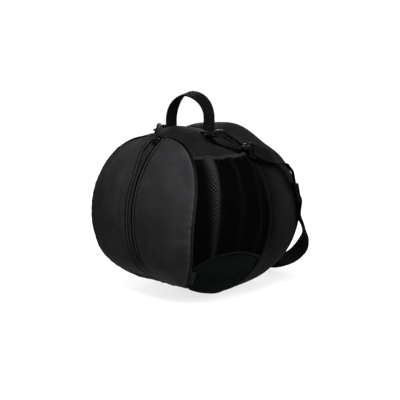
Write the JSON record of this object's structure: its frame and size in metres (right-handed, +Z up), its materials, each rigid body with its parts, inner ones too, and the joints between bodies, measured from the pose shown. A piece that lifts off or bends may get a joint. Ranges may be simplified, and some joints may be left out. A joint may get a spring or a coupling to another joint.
{
  "type": "ball bag",
  "caption": "Round black carry bag for a ball, with a curved front zip, side net pockets, a webbing top handle and a clip-on shoulder strap.",
  "frame": {"origin": "middle of the whole part's box, at the floor the bag rests on", "axes": "+Z up, -Y towards the zipped front, +X towards the side with the strap adjuster"},
  "size_m": [0.2744, 0.2926, 0.2974],
  "materials": {
    "polyester": "black plain-weave polyester with a dull sheen",
    "base_cloth": "smooth coated black cloth, slightly green",
    "net": "black knitted net",
    "webbing": "black woven webbing",
    "plastic": "black moulded plastic, satin",
    "metal": "black lacquered metal"
  },
  "bodies": {
    "root": {"front_gore_right": "polyester", "front_gore_left": "polyester", "back_gore_right": "polyester", "back_gore_left": "polyester", "band_panel": "polyester", "ring_piping_front": "polyester", "ring_piping_back": "polyester", "base_panel": "base_cloth", "net_pocket_right": "net", "net_pocket_left": "net", "zip_tape_right": "webbing", "zip_tape_left": "webbing", "pocket_binding_right": "webbing", "pocket_binding_left": "webbing", "carry_handle": "webbing", "strap_tab_right": "webbing", "strap_tab_left": "webbing", "shoulder_strap": "webbing", "side_label": "webbing", "zip_teeth": "plastic", "snap_hook_right": "plastic", "snap_hook_left": "plastic", "strap_eye_right": "plastic", "strap_eye_left": "plastic", "strap_adjuster": "plastic", "zip_slider": "metal", "zip_pull": "metal", "dee_ring_right": "metal", "dee_ring_left": "metal"}
  },
  "joints": []
}
